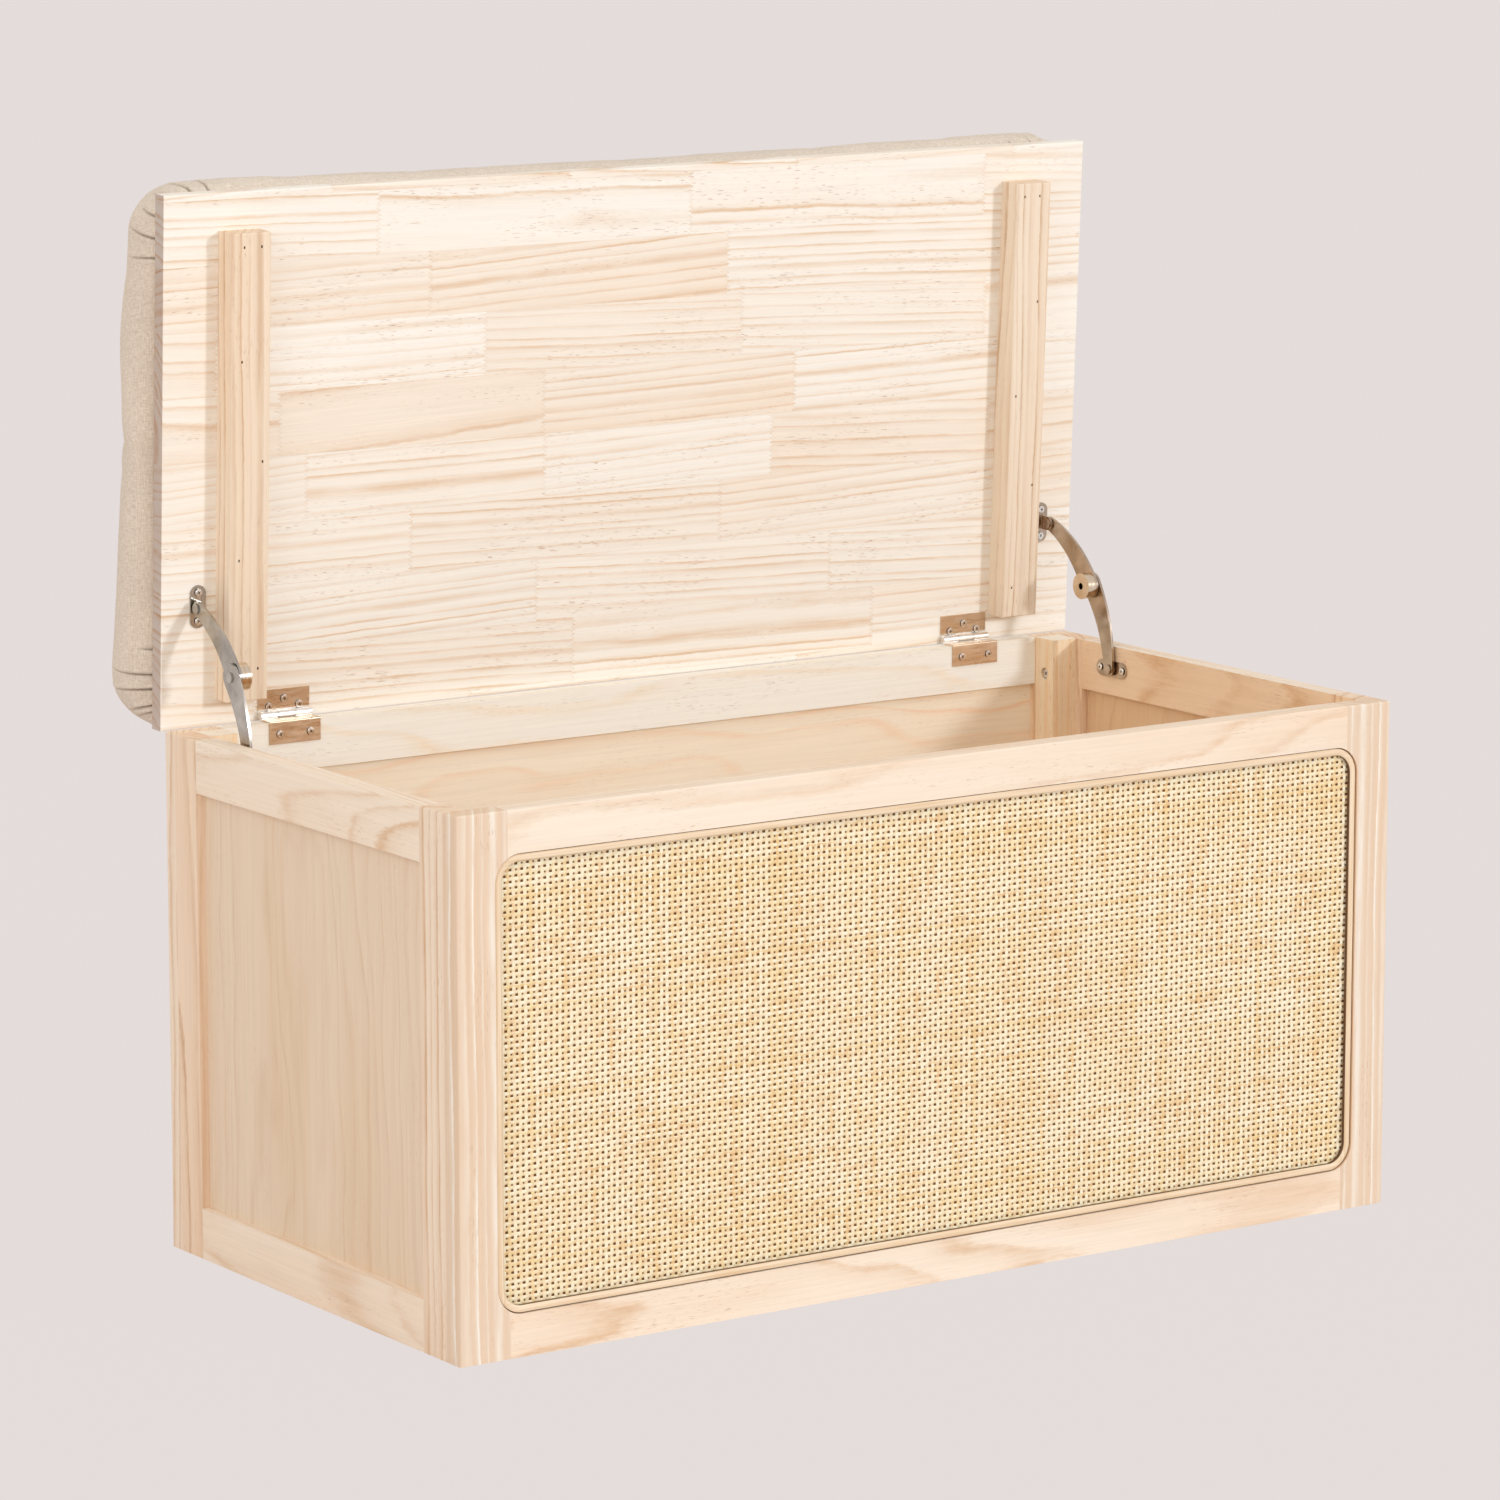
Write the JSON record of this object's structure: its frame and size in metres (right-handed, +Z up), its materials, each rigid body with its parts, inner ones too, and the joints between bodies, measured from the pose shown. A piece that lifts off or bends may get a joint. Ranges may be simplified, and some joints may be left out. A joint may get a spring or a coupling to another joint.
{
  "type": "storage trunk",
  "caption": "Wooden storage trunk with a cane-webbed front, a padded bench lid on butt hinges, and folding spring stays that hold the lid open.",
  "frame": {"origin": "on the floor, at the middle of the footprint that the case and the open lid cover together", "axes": "+X to the right along the long front, +Y from the cane front to the hinge side, +Z up"},
  "size_m": [0.81, 0.4535, 0.7619],
  "materials": {
    "frame_wood": "pale natural pine, satin, fine straight grain",
    "plywood": "thin plywood, light tan, fine grain",
    "lid_wood": "finger-jointed pine board, very pale, with tan grain lines",
    "batten_wood": "planed pine, pale tan",
    "cane": "woven cane, pale straw",
    "reed": "split reed, pale straw",
    "linen": "plain-woven linen, oatmeal",
    "hinge_metal": "thin steel, bright satin, reflecting the wood",
    "stay_metal": "satin nickel",
    "screw_metal": "zinc-plated steel"
  },
  "bodies": {
    "case": {"bottom_panel": "plywood", "cane_back_board": "plywood", "cane_reed": "reed", "cane_webbing": "cane", "corner_block_screws": "screw_metal", "front_bottom_rail": "frame_wood", "front_left_stile": "frame_wood", "front_right_stile": "frame_wood", "front_top_rail": "frame_wood", "hinge_rail_screws": "screw_metal", "left_front_corner_block": "frame_wood", "left_hinge_lower_leaf": "hinge_metal", "left_hinge_pin": "hinge_metal", "left_rear_corner_block": "frame_wood", "left_side_bottom_rail": "frame_wood", "left_side_front_stile": "frame_wood", "left_side_panel": "plywood", "left_side_rear_stile": "frame_wood", "left_side_top_rail": "frame_wood", "left_stay_body_bracket": "stay_metal", "rear_bottom_rail": "frame_wood", "rear_left_stile": "frame_wood", "rear_panel": "plywood", "rear_right_stile": "frame_wood", "rear_top_rail": "frame_wood", "right_front_corner_block": "frame_wood", "right_hinge_lower_leaf": "hinge_metal", "right_hinge_pin": "hinge_metal", "right_rear_corner_block": "frame_wood", "right_side_bottom_rail": "frame_wood", "right_side_front_stile": "frame_wood", "right_side_panel": "plywood", "right_side_rear_stile": "frame_wood", "right_side_top_rail": "frame_wood", "right_stay_body_bracket": "stay_metal", "stay_body_screws": "screw_metal"},
    "lid": {"lid_board": "lid_wood", "cushion": "linen", "left_batten": "batten_wood", "right_batten": "batten_wood", "batten_brads": "screw_metal", "hinge_lid_screws": "screw_metal", "stay_lid_screws": "screw_metal", "left_hinge_upper_leaf": "hinge_metal", "left_stay_lid_bracket": "stay_metal", "right_hinge_upper_leaf": "hinge_metal", "right_stay_lid_bracket": "stay_metal"},
    "left_lower_arm": {"left_stay_lower_arm": "stay_metal"},
    "left_upper_arm": {"left_stay_upper_arm": "stay_metal", "left_stay_spring_drum": "stay_metal"},
    "right_lower_arm": {"right_stay_lower_arm": "stay_metal"},
    "right_upper_arm": {"right_stay_upper_arm": "stay_metal", "right_stay_spring_drum": "stay_metal"}
  },
  "joints": [
    {"name": "lid_hinge", "type": "hinge", "parent": "case", "child": "lid", "pos_m": [0, 0.163, 0.3793], "axis": [1, 0, 0], "range_deg": [0, 88.3]},
    {"name": "left_lower_arm_pivot", "type": "hinge", "parent": "case", "child": "left_lower_arm", "pos_m": [-0.3775, 0.0815, 0.3585], "axis": [1, 0, 0], "range_deg": [0, 112]},
    {"name": "left_upper_arm_pivot", "type": "hinge", "parent": "lid", "child": "left_upper_arm", "pos_m": [-0.3775, 0.15449, 0.463], "axis": [1, 0, 0], "range_deg": [-113.3, 0]},
    {"name": "right_lower_arm_pivot", "type": "hinge", "parent": "case", "child": "right_lower_arm", "pos_m": [0.3775, 0.0815, 0.3585], "axis": [1, 0, 0], "range_deg": [0, 112]},
    {"name": "right_upper_arm_pivot", "type": "hinge", "parent": "lid", "child": "right_upper_arm", "pos_m": [0.3775, 0.15449, 0.463], "axis": [1, 0, 0], "range_deg": [-113.3, 0]}
  ],
  "couplings": [
    {"joint": "left_lower_arm_pivot", "follows": "lid_hinge", "ratio": 1.262},
    {"joint": "left_upper_arm_pivot", "follows": "lid_hinge", "ratio": -1.2767},
    {"joint": "right_lower_arm_pivot", "follows": "lid_hinge", "ratio": 1.262},
    {"joint": "right_upper_arm_pivot", "follows": "lid_hinge", "ratio": -1.2767}
  ]
}
